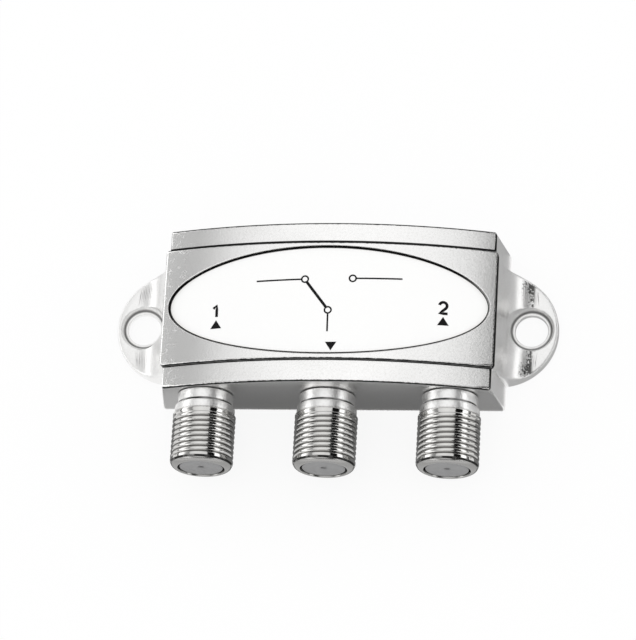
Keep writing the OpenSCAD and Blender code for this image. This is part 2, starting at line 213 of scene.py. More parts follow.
def axes(wire, wanted="XYZ", source="Object"):
    """The wanted coordinates of the surface point, or of its normal, as separate wires."""
    point = wire.node("TexCoord", {}, {}, source)
    return [wire.node("SeparateXYZ", {}, {"Vector": point}, axis) for axis in wanted]


def reach(wire, first, second):
    """Length of the hypotenuse of two wires."""
    return wire.maths("SQRT", first * first + second * second)


def most(wire, first, *others):
    """The largest of several wires."""
    for other in others:
        first = wire.maths("MAXIMUM", first, other)
    return first


def mottle(wire, size, detail=2.0, vector=None):
    """Cloudy variation from 0 to 1 whose spots are about size across."""
    point = vector or surface_point(wire)
    return wire.node("TexNoise", {}, {"Vector": point, "Scale": 1 / size, "Detail": detail}, "Fac")


def ease(wire, value, low, high):
    """0 below low, 1 above high, and a smooth rise between."""
    return wire.node("MapRange", {"interpolation_type": "SMOOTHSTEP"},
                     {"Value": value, "From Min": low, "From Max": high}, "Result")


def fade(wire, value, low, high):
    """1 below low, 0 above high, and a smooth fall between."""
    return 1 - ease(wire, value, low, high)


def mixed(wire, mask, first, second):
    """The first colour where the mask is 0, and the second where it is 1."""
    factor, colour_a, colour_b, colour_out = 0, 6, 7, 2
    colours = {colour_a: first, colour_b: second}
    return wire.node("Mix", {"data_type": "RGBA"}, {factor: mask, **colours}, colour_out)


def relief(wire, height, depth):
    return wire.node("Bump", {}, {"Strength": 1.0, "Distance": depth, "Height": height}, "Normal")


def painted_dark_edges(wire, radius, oval_out):
    """1 where dark lines are painted as shade in place of dark reflections: along the top's two long edges
    and over its right end.
    """
    edge_jitter_size, edge_shade_start, edge_shade_end = 0.45 * mm, 0.38 * mm, 0.68 * mm
    x, z = axes(wire, "XZ")
    face_x, face_y, face_z = axes(wire, "XYZ", "Normal")
    edge_jitter = (mottle(wire, edge_jitter_size) - 0.5) * 0.8
    front_edge = ease(wire, edge_jitter * 0.5 - face_y, 0.66, 0.80)
    back_edge = ease(wire, face_y + edge_jitter * 0.5, 0.22, 0.40) * ease(wire, face_z, 0.15, 0.40)
    outside_oval = ease(wire, oval_out, 1.015, 1.03)
    on_top = ease(wire, radius, arch_r - 0.85 * mm, arch_r - 0.75 * mm) * outside_oval
    below_panel = fade(wire, radius, arch_r - 0.02 * mm, arch_r)
    below_edge = panel_r - radius - below_panel * panel_rise
    edge_shade_fade = 1 - ease(wire, below_edge, edge_shade_start, edge_shade_end) * 0.7
    between_ends = fade(wire, abs(x), end_wall_x, end_wall_x + 0.3 * mm)
    long_edges = most(wire, front_edge, back_edge) * on_top * edge_shade_fade * between_ends
    end_edge = ease(wire, face_x + edge_jitter * 0.6, 0.42, 0.52)
    end_edge = end_edge * ease(wire, z, end_edge_z, end_edge_z + 0.3 * mm)
    end_edge = end_edge * fade(wire, x, end_wall_x + 0.08 * mm, end_wall_x + 0.16 * mm)
    return most(wire, long_edges, end_edge)


def painted_crease_shade(wire, radius, oval_out):
    """1 where shade is painted: creases beside the panel, the wall of the oval, corners of the sunk ear
    holes.
    """
    x, y, z = axes(wire)
    front_crease = fade(wire, reach(wire, y + panel_side, radius - arch_r), 0.10 * mm, 0.17 * mm)
    back_crease = fade(wire, reach(wire, y - panel_side, radius - arch_r), 0.30 * mm, 0.40 * mm)
    within_oval = fade(wire, oval_out, 1.0, 1.002)
    oval_wall = fade(wire, radius, panel_r - 0.42 * mm, panel_r - 0.34 * mm) * within_oval
    oval_wall = oval_wall * ease(wire, radius, panel_r - 0.80 * mm, panel_r - 0.70 * mm)
    oval_wall = oval_wall * (1 - ease(wire, abs(x), 19 * mm, 24 * mm) * 0.6)
    from_hole = reach(wire, abs(x) - ear_hole_x, y)
    sunk_corner = fade(wire, abs(from_hole - sunk_floor_r), 0.05 * mm, 0.30 * mm)
    sunk_corner = sunk_corner * ease(wire, z, 0.4 * mm, 0.6 * mm) * fade(wire, z, 1.2 * mm, 1.5 * mm)
    return most(wire, front_crease, back_crease, oval_wall, sunk_corner * 0.75)


def ear_tarnish_and_reflection(wire, on_ear, facing_up, speckle, cloud):
    """Speckled tarnish with painted dark reflection in the hollow where the right ear rises to the end wall,
    kept to the surface that faces partly right, and thicker towards its foot.
    """
    y, z = axes(wire, "YZ")
    face_x, face_z = axes(wire, "XZ", "Normal")
    hollow = ease(wire, face_x, 0.10, 0.20) * fade(wire, face_x, 0.46, 0.60) * on_ear * facing_up
    hollow = hollow * ease(wire, z, 1.45 * mm, 1.6 * mm) * ease(wire, face_z, 0.6, 0.75)
    denser_spots = fade(wire, face_x, 0.16, 0.46) * 0.28 + ease(wire, abs(y), 4.2 * mm, 7.2 * mm) * 0.16
    return hollow * ease(wire, speckle + denser_spots + (cloud - 0.5) * 0.3, 0.64, 0.78)


def end_scuffs(wire, radius, peel):
    """Fine stray scratches on the left end of the arched top."""
    loop_size = 1.5 * mm
    x = axes(wire, "X")[0]
    scratch = fade(wire, abs(mottle(wire, loop_size) - 0.5), 0.004, 0.020) * ease(wire, peel, 0.48, 0.60)
    on_arch = ease(wire, radius, arch_r - 0.2 * mm, arch_r - 0.1 * mm)
    return scratch * on_arch * ease(wire, 0 - x, 20.5 * mm, 24.5 * mm)


def satin_nickel():
    made, wire = new_finish("satin nickel casting")
    plate, clouded = (0.94, 0.937, 0.93, 1), (0.83, 0.826, 0.815, 1)
    # The three dark colours paint shade: a dark band mixed with tarnish in the right ear's hollow, black edge
    # lines, and black creases.
    tarnished, painted_edge_black, painted_crease_black = (0.05, 0.05, 0.048, 1), (0.008, 0.008, 0.008, 1), (0.012, 0.012, 0.012, 1)
    x, y, z = axes(wire)
    face_z = axes(wire, "Z", "Normal")[0]
    radius = reach(wire, x, z - arch_z)
    oval_out = reach(wire, x * (1 / oval_x), y * (1 / oval_y))
    on_ear = ease(wire, abs(x), end_wall_x + 0.1 * mm, end_wall_x + 0.6 * mm)
    facing_up = ease(wire, face_z, 0.15, 0.45)
    cloud = mottle(wire, 7 * mm)
    peel = mottle(wire, 0.9 * mm)
    speckle = mottle(wire, 0.30 * mm, 3.0)
    grain = mottle(wire, 0.07 * mm, 3.0)
    pits = ease(wire, mottle(wire, 0.45 * mm, 1.0), 0.70, 0.80)
    painted_edges = painted_dark_edges(wire, radius, oval_out)
    tarnish_and_reflection = ear_tarnish_and_reflection(wire, on_ear, facing_up, speckle, cloud)
    scuffs = end_scuffs(wire, radius, peel)
    clouding = ease(wire, cloud, 0.3, 0.8) * 0.3 + ease(wire, speckle, 0.4, 0.8) * 0.5 + pits * 0.3
    tone = mixed(wire, clouding, plate, clouded)
    # Speckled tarnish, and painted dark reflection over the part of the right ear's hollow that faces right.
    tone = mixed(wire, tarnish_and_reflection * 0.9, tone, tarnished)
    # Painted shade: black lines along the top's long edges and right end stand in for dark reflections.
    tone = mixed(wire, painted_edges, tone, painted_edge_black)
    # Painted shade darkens the creases beside the panel, the oval's wall and the corners of the sunk ear
    # holes.
    tone = mixed(wire, painted_crease_shade(wire, radius, oval_out), tone, painted_crease_black)
    satin = 0.32 - facing_up * (0.08 - on_ear * 0.14)
    rough = satin + (cloud - 0.5) * 0.06 + (speckle - 0.5) * 0.10 + painted_edges * 0.5 + scuffs * 0.25
    height = peel * 0.2 + speckle * (0.15 + facing_up * (0.55 + on_ear * 0.3)) + grain * 0.1 - pits * 0.15
    # The painted edge lines are also made non-metallic and rougher.
    shade(wire, {"Base Color": tone, "Metallic": 1 - painted_edges, "Roughness": rough, "Specular IOR Level": 0.1,
                 "Normal": relief(wire, height, 0.012 * mm)})
    return made


casting = rounded_casting(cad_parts["housing"])
casting.data.materials.append(satin_nickel())
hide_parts("housing")
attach(casting, "switch")

# Port barrels: three turned brass pieces, nickel plated, pressed into the front wall. Each has an undercut
# foot, a drafted neck, a round bead, one helical groove between round crests, and a full round lip that the
# groove's run-out notches.
port_names = ["port_barrel_1", "port_barrel_2", "port_barrel_3"]
port_boxes = [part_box(name) for name in port_names]
port_places = [(low[0] + high[0]) / 2 for low, high in port_boxes]
port_h = (port_boxes[0][0][2] + port_boxes[0][1][2]) / 2
crest_r = (port_boxes[0][1][0] - port_boxes[0][0][0]) / 2
port_l = front_y - port_boxes[0][0][1]
shank_end = front_y - port_boxes[0][1][1]
shank_r, undercut_r, undercut_l = 3.6 * mm, 3.75 * mm, 0.12 * mm
neck_root_r, neck_root_s, neck_round, neck_r = 4.22 * mm, 0.24 * mm, 0.1 * mm, 4.05 * mm
bead_start, bead_end, bead_r = 1.88 * mm, 3.18 * mm, 4.5 * mm
thread_start, cut_start, thread_end = 3.40 * mm, 3.50 * mm, 10.45 * mm
first_groove, groove_pitch, groove_depth = 3.652 * mm, 25.4 / 32 * mm, 0.25 * mm
run_in_l, run_out_l, lead_turns = 0.9 * mm, 0.1 * mm, 2
lip_r, notch_depth, notch_first, notch_last, notch_flank = 1.1 * mm, 0.16 * mm, 19, 34, 3
seat_r, seat_depth, bore_r = 3.52 * mm, 1.9 * mm, 3.05 * mm
around = 112
phases = [0, 0.04, 0.08, 0.13, 0.18, 0.24, 0.31, 0.40, 0.5, 0.60, 0.69, 0.76, 0.82, 0.87, 0.92, 0.96]


def sweep(first, last, steps):
    """Even steps from one angle to another, given in degrees, as radians."""
    return [math.radians(first + (last - first) * k / steps) for k in range(steps + 1)]


def corner(r, s, size, first, last, steps=4):
    """Points of a round corner about (r, s), from one angle to another, in degrees."""
    return [(r + size * math.cos(a), s + size * math.sin(a)) for a in sweep(first, last, steps)]


def groove(phase):
    """Share of the groove's depth at one point of the pitch: a round root between broad round crests."""
    crest_breadth = 1.6
    return (0.5 + 0.5 * math.cos(2 * math.pi * phase)) ** crest_breadth


def turned_shape(rows, name, thread_rows=()):
    """A closed skin from rings of (radius, distance); the thread's rings shift one turn where they close."""
    weld_gap, crisp = 0.0002 * mm, 48
    shape = bmesh.new()
    grid = []
    for row in rows:
        ring = []
        for k, (r, s) in enumerate(row):
            turn = 2 * math.pi * k / around
            ring.append(shape.verts.new((r * math.cos(turn), -s, r * math.sin(turn))))
        grid.append(ring)
    first, last = (thread_rows[0], thread_rows[-1]) if thread_rows else (0, -1)

    def beside(j, k):
        if k + 1 < around:
            return grid[j][k + 1]
        return grid[min(j + len(phases), last)][0] if first <= j <= last else grid[j][0]

    for j in range(len(grid)):
        above = (j + 1) % len(grid)
        for k in range(around):
            corners = dict.fromkeys((grid[j][k], beside(j, k), beside(above, k), grid[above][k]))
            if len(corners) > 2:
                shape.faces.new(corners)
    bmesh.ops.remove_doubles(shape, verts=shape.verts, dist=weld_gap)
    bmesh.ops.dissolve_degenerate(shape, dist=weld_gap, edges=shape.edges)
    bmesh.ops.recalc_face_normals(shape, faces=shape.faces)
    return smooth_mesh(shape, name, crisp)


def barrel_mesh():
    back_round, front_round, seam_l, seam_depth = 0.30 * mm, 0.24 * mm, 0.10 * mm, 0.05 * mm
    back = [(bore_r, shank_end), (shank_r, shank_end), (shank_r, 0)]
    back += [(undercut_r, 0), (undercut_r, undercut_l)]
    back += corner(neck_root_r - neck_round, neck_root_s, neck_round, -90, 0)
    back += [(neck_r, bead_start - seam_l), (neck_r - seam_depth, bead_start)]
    back += corner(bead_r - back_round, bead_start + back_round, back_round, -90, 0, 6)
    back += corner(bead_r - front_round, bead_end - front_round, front_round, 0, 70, 5)
    valley = [(bead_r - 0.20 * mm, bead_end + 0.02 * mm), (crest_r - 0.1 * mm, thread_start - 0.12 * mm)]
    thread_edge = [(crest_r - 0.02 * mm, thread_start - 0.05 * mm), (crest_r, thread_start)]
    back += valley + thread_edge
    lip_r_middle, lip_s_middle = crest_r - lip_r, port_l - lip_r
    front = [(crest_r, thread_end)] + corner(lip_r_middle, lip_s_middle, lip_r, 0, notch_first, 3)
    front += corner(lip_r_middle, lip_s_middle, lip_r - notch_depth, notch_first + notch_flank,
                    notch_last - notch_flank, 1)
    front += corner(lip_r_middle, lip_s_middle, lip_r, notch_last, 90, 8)
    mouth_edge = [(seat_r + 0.03 * mm, port_l - 0.01 * mm), (seat_r, port_l - 0.06 * mm)]
    front += mouth_edge + [(seat_r, port_l - seat_depth), (bore_r, port_l - seat_depth)]
    rows = [[point] * around for point in back]
    thread_rows = []
    turns = math.ceil((thread_end - first_groove) / groove_pitch)
    for j in range(-lead_turns, turns):
        for phase in phases:
            row = []
            for k in range(around):
                s = first_groove + (j + phase + k / around) * groove_pitch
                s = min(max(s, thread_start), thread_end)
                run_in = min(max((s - cut_start) / run_in_l, 0), 1)
                run_out = min((thread_end - s) / run_out_l, 1)
                row.append((crest_r - groove_depth * groove(phase) * run_in * run_out, s))
            thread_rows.append(len(rows))
            rows.append(row)
    rows += [[point] * around for point in front]
    return turned_shape(rows, "port barrel", thread_rows)


def turned_nickel():
    made, wire = new_finish("turned nickel")
    # Three of these colours paint shade: the dark one for the thread's roots, the grey one for the lip, and
    # black for the seams.
    clean, tarnished, root_shade = (0.68, 0.675, 0.66, 1), (0.60, 0.593, 0.577, 1), (0.08, 0.077, 0.072, 1)
    satin, dull = (0.93, 0.927, 0.92, 1), (0.87, 0.866, 0.855, 1)
    shaded_lip, black = (0.36, 0.356, 0.348, 1), (0.012, 0.012, 0.012, 1)
    tool_mark_w = 0.05 * mm
    x, y, z = axes(wire)
    r = reach(wire, x, z)
    s = 0 - y
    rings = wire.node("TexNoise", {"noise_dimensions": "1D"}, {"W": y + r, "Scale": 1 / tool_mark_w}, "Fac")
    smudge = mottle(wire, 2.2 * mm)
    speckle = mottle(wire, 0.30 * mm, 3.0)
    plain = fade(wire, s, thread_start - 0.20 * mm, thread_start - 0.12 * mm)
    lip = ease(wire, s, port_l - lip_r * 0.8, port_l - lip_r * 0.5)
    on_thread = (1 - plain) * fade(wire, s, thread_end - 0.1 * mm, thread_end)
    root = fade(wire, r, crest_r - groove_depth * 0.92, crest_r - groove_depth * 0.62) * on_thread
    tone = mixed(wire, ease(wire, smudge, 0.4, 0.8) * 0.6, clean, tarnished)
    # Painted shade: the lip is coloured darker than the rest of the barrel.
    tone = mixed(wire, lip * 0.85, tone, shaded_lip)
    # Painted shade darkens the roots of the thread's groove.
    tone = mixed(wire, root * 0.85, tone, root_shade)
    tone = mixed(wire, plain, tone, mixed(wire, ease(wire, speckle, 0.4, 0.8), satin, dull))
    patchy = ease(wire, smudge, 0.36, 0.50)
    # Painted shade: patchy black lines at the seam between neck and bead, at the foot and in the lip's
    # run-out notch.
    from_seam = reach(wire, s - bead_start, r - neck_r)
    seam = fade(wire, from_seam, 0.24 * mm, 0.42 * mm) * (0.65 + patchy * 0.35)
    foot = fade(wire, s, undercut_l, undercut_l + 0.08 * mm) * (0.25 + patchy * 0.5)
    from_notch = abs(s - port_l + lip_r * 0.56)
    run_out = fade(wire, from_notch, 0.12 * mm, 0.18 * mm) * (0.3 + patchy * 0.7)
    seam_shade = most(wire, seam, foot, run_out)
    tone = mixed(wire, seam_shade * 0.95, tone, black)
    rough = 0.03 + smudge * 0.05 + rings * 0.03 + root * 0.2 + plain * 0.28 + lip * 0.16 + seam_shade * 0.3
    height = rings * (1 - plain) * 0.1 + speckle * plain * 3.0
    shade(wire, {"Base Color": tone, "Metallic": 1.0, "Roughness": rough,
                 "Normal": relief(wire, height, 0.012 * mm)})
    return made


barrel_shape = barrel_mesh()
barrel_shape.materials.append(turned_nickel())
for i, x in enumerate(port_places):
    barrel = add_piece(f"barrel_{i + 1}", barrel_shape)
    barrel.location = (x, front_y, port_h)
    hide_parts(port_names[i])
    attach(barrel, "switch")

# Port insulators: grey moulded plugs snapped into the mouths of the barrels. Each has a flat face, a shallow
# dish that leads into the wire hole, and a thin sleeve that lines the barrel's bore.
face_r, face_s, face_round = 3.24 * mm, port_l - 0.15 * mm, 0.08 * mm
step_outer_r, step_inner_r, step_depth = 1.75 * mm, 1.68 * mm, 0.02 * mm
wire_hole_r, dish_r, dish_depth = 0.45 * mm, 1.0 * mm, 0.10 * mm
sleeve_out, sleeve_in = 3.03 * mm, 2.2 * mm


def insulator_mesh():
    seat = port_l - seat_depth
    points = [(wire_hole_r, seat), (sleeve_in, seat), (sleeve_in, shank_end), (sleeve_out, shank_end)]
    points += [(sleeve_out, seat), (face_r, seat)]
    points += corner(face_r - face_round, face_s - face_round, face_round, 0, 90)
    points += [(step_outer_r, face_s), (step_inner_r, face_s - step_depth), (dish_r, face_s - step_depth)]
    hole_edge = [(0.15 * mm, dish_depth), (0.04 * mm, 1.3 * dish_depth), (0, 1.8 * dish_depth)]
    points += [(wire_hole_r + out, face_s - down) for out, down in hole_edge]
    return turned_shape([[point] * around for point in points], "port insulator")


def grey_moulding():
    made, wire = new_finish("grey moulded plastic")
    base, pale = (0.25, 0.25, 0.252, 1), (0.29, 0.29, 0.292, 1)
    flow = mottle(wire, 1.6 * mm, 3.0)
    spark = mottle(wire, 0.06 * mm)
    tone = mixed(wire, ease(wire, flow, 0.35, 0.75) * 0.6, base, pale)
    shade(wire, {"Base Color": tone, "Roughness": 0.42 + (spark - 0.5) * 0.2, "Specular IOR Level": 0.3,
                 "Normal": relief(wire, spark * 0.4 + flow, 0.003 * mm)})
    return made


insulator_shape = insulator_mesh()
insulator_shape.materials.append(grey_moulding())
for i, x in enumerate(port_places):
    insulator = add_piece(f"insulator_{i + 1}", insulator_shape)
    insulator.location = (x, front_y, port_h)
    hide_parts(f"port_insulator_{i + 1}")
    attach(insulator, "switch")

# Spring contacts: bronze strip, stamped and rolled. A base with a tail down to the board sits in each
# insulator, and two leaves in its sockets close on the cable's centre wire.
def dress(material, *names):
    """Gives CAD pieces that keep their shape their real finish."""
    for name in names:
        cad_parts[name].material_slots[0].material = material


def stretched(wire, times_x, times_y, times_z):
    """The surface point with its axes scaled, so that mottle made from it runs in streaks."""
    x, y, z = axes(wire)
    return wire.node("CombineXYZ", {}, {"X": x * times_x, "Y": y * times_y, "Z": z * times_z})


def rolled_bronze():
    made, wire = new_finish("rolled contact bronze")
    fresh, stained = (0.80, 0.60, 0.33, 1), (0.62, 0.42, 0.22, 1)
    rolled = mottle(wire, 0.5 * mm, 3.0, stretched(wire, 8, 1, 8))
    stain = ease(wire, mottle(wire, 1.3 * mm), 0.5, 0.75)
    shade(wire, {"Base Color": mixed(wire, stain * 0.6, fresh, stained), "Metallic": 1.0,
                 "Roughness": 0.24 + rolled * 0.16 + stain * 0.1, "Normal": relief(wire, rolled, 0.002 * mm)})
    return made


contacts = [f"contact_base_{i}" for i in (1, 2, 3)]
contacts += [f"contact_leaf_{i}_{side}" for i in (1, 2, 3) for side in ("left", "right")]
dress(rolled_bronze(), *contacts)

# Circuit board: glass-fibre laminate under green solder mask, hung from the housing's posts by two plated
# screws. Solder cones join it to the contact tails.
def solder_mask():
    made, wire = new_finish("green solder mask")
    mask, over_copper = (0.010, 0.085, 0.035, 1), (0.025, 0.17, 0.07, 1)
    lane_l, glass_thread_w = 9 * mm, 0.5 * mm
    x, y = axes(wire, "XY")
    lanes = wire.node("TexBrick", {"offset": 0.35, "squash": 1.0},
                      {"Vector": surface_point(wire), "Scale": 1 / lane_l,
                       "Mortar Size": 0.03, "Brick Width": 0.7, "Row Height": 0.22}, "Fac")
    weave_x = wire.maths("SINE", x * (2 * math.pi / glass_thread_w))
    weave_y = wire.maths("SINE", y * (2 * math.pi / glass_thread_w))
    weave = weave_x * weave_y
    shade(wire, {"Base Color": mixed(wire, 1 - lanes, mask, over_copper),
                 "Roughness": 0.30 + mottle(wire, 3 * mm) * 0.12, "Coat Weight": 0.3,
                 "Normal": relief(wire, weave * 0.15 - lanes, 0.012 * mm)})
    return made


def plated_screw():
    made, wire = new_finish("plated screw steel")
    bright, scuffed = (0.62, 0.61, 0.58, 1), (0.44, 0.42, 0.38, 1)
    scuff = mottle(wire, 0.25 * mm, 4.0)
    tone = mixed(wire, ease(wire, scuff, 0.5, 0.75), bright, scuffed)
    shade(wire, {"Base Color": tone, "Metallic": 1.0, "Roughness": 0.26 + scuff * 0.2,
                 "Normal": relief(wire, scuff, 0.004 * mm)})
    return made


def soft_solder():
    made, wire = new_finish("soft solder")
    bright, frosted = (0.66, 0.67, 0.69, 1), (0.50, 0.51, 0.54, 1)
    crystal = 0.22 * mm
    frost = wire.node("TexVoronoi", {}, {"Vector": surface_point(wire), "Scale": 1 / crystal}, "Distance")
    tone = mixed(wire, frost, bright, frosted)
    shade(wire, {"Base Color": tone, "Metallic": 1.0, "Roughness": 0.22 + frost * 0.25,
                 "Normal": relief(wire, frost, 0.01 * mm)})
    return made


dress(solder_mask(), "circuit_board")
dress(plated_screw(), "board_screws")
dress(soft_solder(), "tail_solder")

# Board components: black epoxy packages with tinned leads, ferrite drums, an aluminium can, and ceramic
# chips with tinned ends. All stand on the board's upper side, soldered by their feet.
board_low, board_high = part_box("circuit_board")
board_l, board_top = board_high[0] - board_low[0], board_high[2]
port_pitch = abs(port_places[1] - port_places[0])


def inside(wire, places, half_x, half_y):
    """1 within half_x and half_y of any of the places, 0 elsewhere."""
    x, y = axes(wire, "XY")
    bodies = []
    for place_x, place_y in places:
        reach_x = wire.maths("LESS_THAN", abs(x - place_x), half_x)
        reach_y = wire.maths("LESS_THAN", abs(y - place_y), half_y)
        bodies.append(reach_x * reach_y)
    return most(wire, *bodies)


def middle_of(node):
    low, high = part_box(node)
    return (low[0] + high[0]) / 2, (low[1] + high[1]) / 2


def tinned_component(name, places, half_x, half_y, colour, body_rough):
    """A package or chip body of one colour, tinned wherever it reaches past the body's own outline."""
    made, wire = new_finish(name)
    tin, tin_rough, speck_shade = (0.70, 0.70, 0.69, 1), 0.28, 0.72
    body = inside(wire, places, half_x, half_y)
    speck = mottle(wire, 0.12 * mm, 3.0)
    darker = tuple(c * speck_shade for c in colour[:3]) + (1,)
    tone = mixed(wire, body, tin, mixed(wire, speck, colour, darker))
    shade(wire, {"Base Color": tone, "Metallic": 1 - body,
                 "Roughness": body * (body_rough - tin_rough) + tin_rough + (speck - 0.5) * 0.12,
                 "Normal": relief(wire, speck, 0.006 * mm)})
    return made


def board_chip(name, node, half_x, half_y, places=None, colour=(0.035, 0.035, 0.038, 1), body_rough=0.55):
    dress(tinned_component(name, places or [middle_of(node)], half_x, half_y, colour, body_rough), node)


board_chip("control chip epoxy", "control_chip", 2.46 * mm, 1.96 * mm)
board_chip("regulator epoxy", "regulator", 2.26 * mm, 1.26 * mm)
package_half = (1.46 * mm, 0.66 * mm)
diode_y = middle_of("switching_diodes")[1]
diode_x = [side * part * port_pitch for side in (-1, 1) for part in (0.31, 0.69)]
board_chip("diode epoxy", "switching_diodes", *package_half, [(x, diode_y) for x in diode_x])
driver_x, driver_inset = middle_of("driver_transistors")[0], 1.6 * mm
driver_low, driver_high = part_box("driver_transistors")
driver_y = [driver_low[1] + driver_inset, driver_high[1] - driver_inset]
board_chip("transistor epoxy", "driver_transistors", *package_half, [(driver_x, y) for y in driver_y])
resonator_tan, capacitor_brown = (0.72, 0.68, 0.56, 1), (0.36, 0.22, 0.12, 1)
board_chip("resonator ceramic", "resonator", 1.01 * mm, 2.3 * mm, None, resonator_tan, 0.6)

cap_low, cap_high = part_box("chip_capacitors")
cap_inset = 0.65 * mm
cap_rows = [cap_low[1] + cap_inset, cap_high[1] - cap_inset]
cap_columns = [side * part * port_pitch for side in (-1, 1) for part in (0.3, 0.66, 0.7)]
cap_places = [(x, y) for x in cap_columns for y in cap_rows]
board_chip("capacitor ceramic", "chip_capacitors", 0.5 * mm, 0.7 * mm, cap_places, capacitor_brown, 0.5)
resistor_y = middle_of("chip_resistors")[1]
resistor_places = [(part * board_l, resistor_y) for part in (-0.27, -0.2, -0.13, -0.06, 0.28, 0.35)]
board_chip("resistor ceramic", "chip_resistors", 0.7 * mm, 0.5 * mm, resistor_places)


def pressed_ferrite():
    made, wire = new_finish("pressed ferrite")
    dark, rusty = (0.10, 0.075, 0.06, 1), (0.16, 0.11, 0.08, 1)
    pore = mottle(wire, 0.09 * mm, 4.0)
    shade(wire, {"Base Color": mixed(wire, pore, dark, rusty), "Roughness": 0.55 + (pore - 0.5) * 0.3,
                 "Normal": relief(wire, pore, 0.01 * mm)})
    return made


def drawn_can():
    made, wire = new_finish("drawn aluminium can")
    base_plate, aluminium = (0.02, 0.02, 0.022, 1), (0.74, 0.75, 0.77, 1)
    base_top = board_top + 0.9 * mm
    z = axes(wire, "Z")[0]
    drawn = mottle(wire, 0.6 * mm, 3.0, stretched(wire, 6, 6, 0.4))
    metal = ease(wire, z, base_top, base_top + 0.05 * mm)
    shade(wire, {"Base Color": mixed(wire, metal, base_plate, aluminium), "Metallic": metal,
                 "Roughness": 0.3 + drawn * 0.2, "Normal": relief(wire, drawn, 0.003 * mm)})
    return made


dress(pressed_ferrite(), "chokes")
dress(drawn_can(), "storage_capacitor")

# Seal and rear plate: a black rubber frame under a sheet of tinned steel, laid into the foot and held there
# by lips of the casting that are peened over the plate's edge.
def seal_rubber():
    made, wire = new_finish("black seal rubber")
    black, bloomed = (0.018, 0.018, 0.019, 1), (0.05, 0.05, 0.05, 1)
    bloom = mottle(wire, 1.5 * mm, 4.0)
    tone = mixed(wire, ease(wire, bloom, 0.45, 0.8), black, bloomed)
    shade(wire, {"Base Color": tone, "Roughness": 0.7 + (bloom - 0.5) * 0.2,
                 "Normal": relief(wire, mottle(wire, 0.15 * mm), 0.01 * mm)})
    return made


def tinned_sheet():
    made, wire = new_finish("tinned steel sheet")
    tin, stained = (0.70, 0.70, 0.69, 1), (0.52, 0.52, 0.51, 1)
    flake_size = 3.2 * mm
    rolled = mottle(wire, 0.16 * mm, 3.0, stretched(wire, 0.06, 1, 1))
    flake = wire.node("TexVoronoi", {}, {"Vector": surface_point(wire), "Scale": 1 / flake_size}, "Color")
    spangle = wire.node("SeparateColor", {}, {"Color": flake}, "Red")
    stain = ease(wire, mottle(wire, 5 * mm, 4.0), 0.55, 0.75)
    tone = mixed(wire, spangle * 0.4 + stain * 0.3, tin, stained)
    shade(wire, {"Base Color": tone, "Metallic": 1.0, "Roughness": 0.28 + spangle * 0.12 + rolled * 0.12,
                 "Normal": relief(wire, rolled, 0.002 * mm)})
    return made


dress(seal_rubber(), "plate_seal")
dress(tinned_sheet(), "rear_plate")

# Label: white printed film, bent to the arch and stuck to the floor of the oval recess. The print is plain:
# a black border, a numbered arrow at each input port, an arrow to the output, and a two-way switch's diagram.
label_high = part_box("label")[1]
label_r = label_high[2] - arch_z
ink_t = 0.02 * mm
print_tilt, print_shift = math.radians(1.2), 0.4 * mm
border_w, line_w, heavy_w = 0.14 * mm, 0.24 * mm, 0.42 * mm


def label_film():
    made, wire = new_finish("white label film")
    white, aged = (0.945, 0.945, 0.94, 1), (0.82, 0.81, 0.785, 1)
    x, y = axes(wire, "XY")
    out = reach(wire, x * (1 / label_high[0]), y * (1 / label_high[1]))
    fibre = mottle(wire, 0.2 * mm, 4.0)
    cloud = mottle(wire, 8 * mm)
    tone = mixed(wire, ease(wire, out, 0.95, 1.0) * 0.5 + cloud * 0.08, white, aged)
    shade(wire, {"Base Color": tone, "Roughness": 0.42 + (fibre - 0.5) * 0.12, "Specular IOR Level": 0.3,
                 "Normal": relief(wire, fibre + cloud * 2, 0.003 * mm)})
    return made


def black_ink():
    made, wire = new_finish("black label ink")
    full, thin = (0.004, 0.004, 0.0045, 1), (0.012, 0.012, 0.0125, 1)
    soak = mottle(wire, 0.1 * mm, 3.0)
    tone = mixed(wire, ease(wire, soak, 0.4, 0.8), full, thin)
    shade(wire, {"Base Color": tone, "Roughness": 0.6 + (soak - 0.5) * 0.2, "Specular IOR Level": 0.12,
                 "Normal": relief(wire, soak, 0.002 * mm)})
    return made


def on_film(point, lift):
    return Vector((point.x, point.y, arch_z + math.sqrt((label_r + lift) ** 2 - point.x ** 2)))


def printed(x, y):
    """A point of the print in millimetres, turned and shifted as the print lies on the film."""
    turn = Matrix.Rotation(print_tilt, 2)
    return turn @ Vector((x, y)) * mm + Vector((print_shift, 0))


def add_ribbon(shape, path, width, closed=False):
    """A printed line along a path of points, as a thin closed strip."""
    count = len(path)
    rings = []
    for k, point in enumerate(path):
        before = path[k - 1] if closed or k else point
        after = path[(k + 1) % count] if closed or k + 1 < count else point
        way = (after - before).normalized()
        side = Vector((-way.y, way.x)) * width / 2
        corners = [(point + side, 0), (point - side, 0), (point - side, ink_t), (point + side, ink_t)]
        rings.append([shape.verts.new(on_film(at, lift)) for at, lift in corners])
    pairs = list(zip(rings, rings[1:])) + ([(rings[-1], rings[0])] if closed else [])
    for ring, following in pairs:
        for k in range(4):
            shape.faces.new((ring[k], ring[(k + 1) % 4], following[(k + 1) % 4], following[k]))
    if not closed:
        shape.faces.new(rings[0])
        shape.faces.new(reversed(rings[-1]))


def straight(*corners):
    """Points along straight runs between corners, close enough together to follow the arch."""
    longest = 0.8
    points = [printed(*corners[0])]
    for start, end in zip(corners, corners[1:]):
        steps = max(1, math.ceil(math.dist(start, end) / longest))
        for k in range(1, steps + 1):
            points.append(printed(*(a + (b - a) * k / steps for a, b in zip(start, end))))
    return points


def bow(x, y, size, first, last, steps=14):
    return [printed(x + size * math.cos(a), y + size * math.sin(a)) for a in sweep(first, last, steps)]


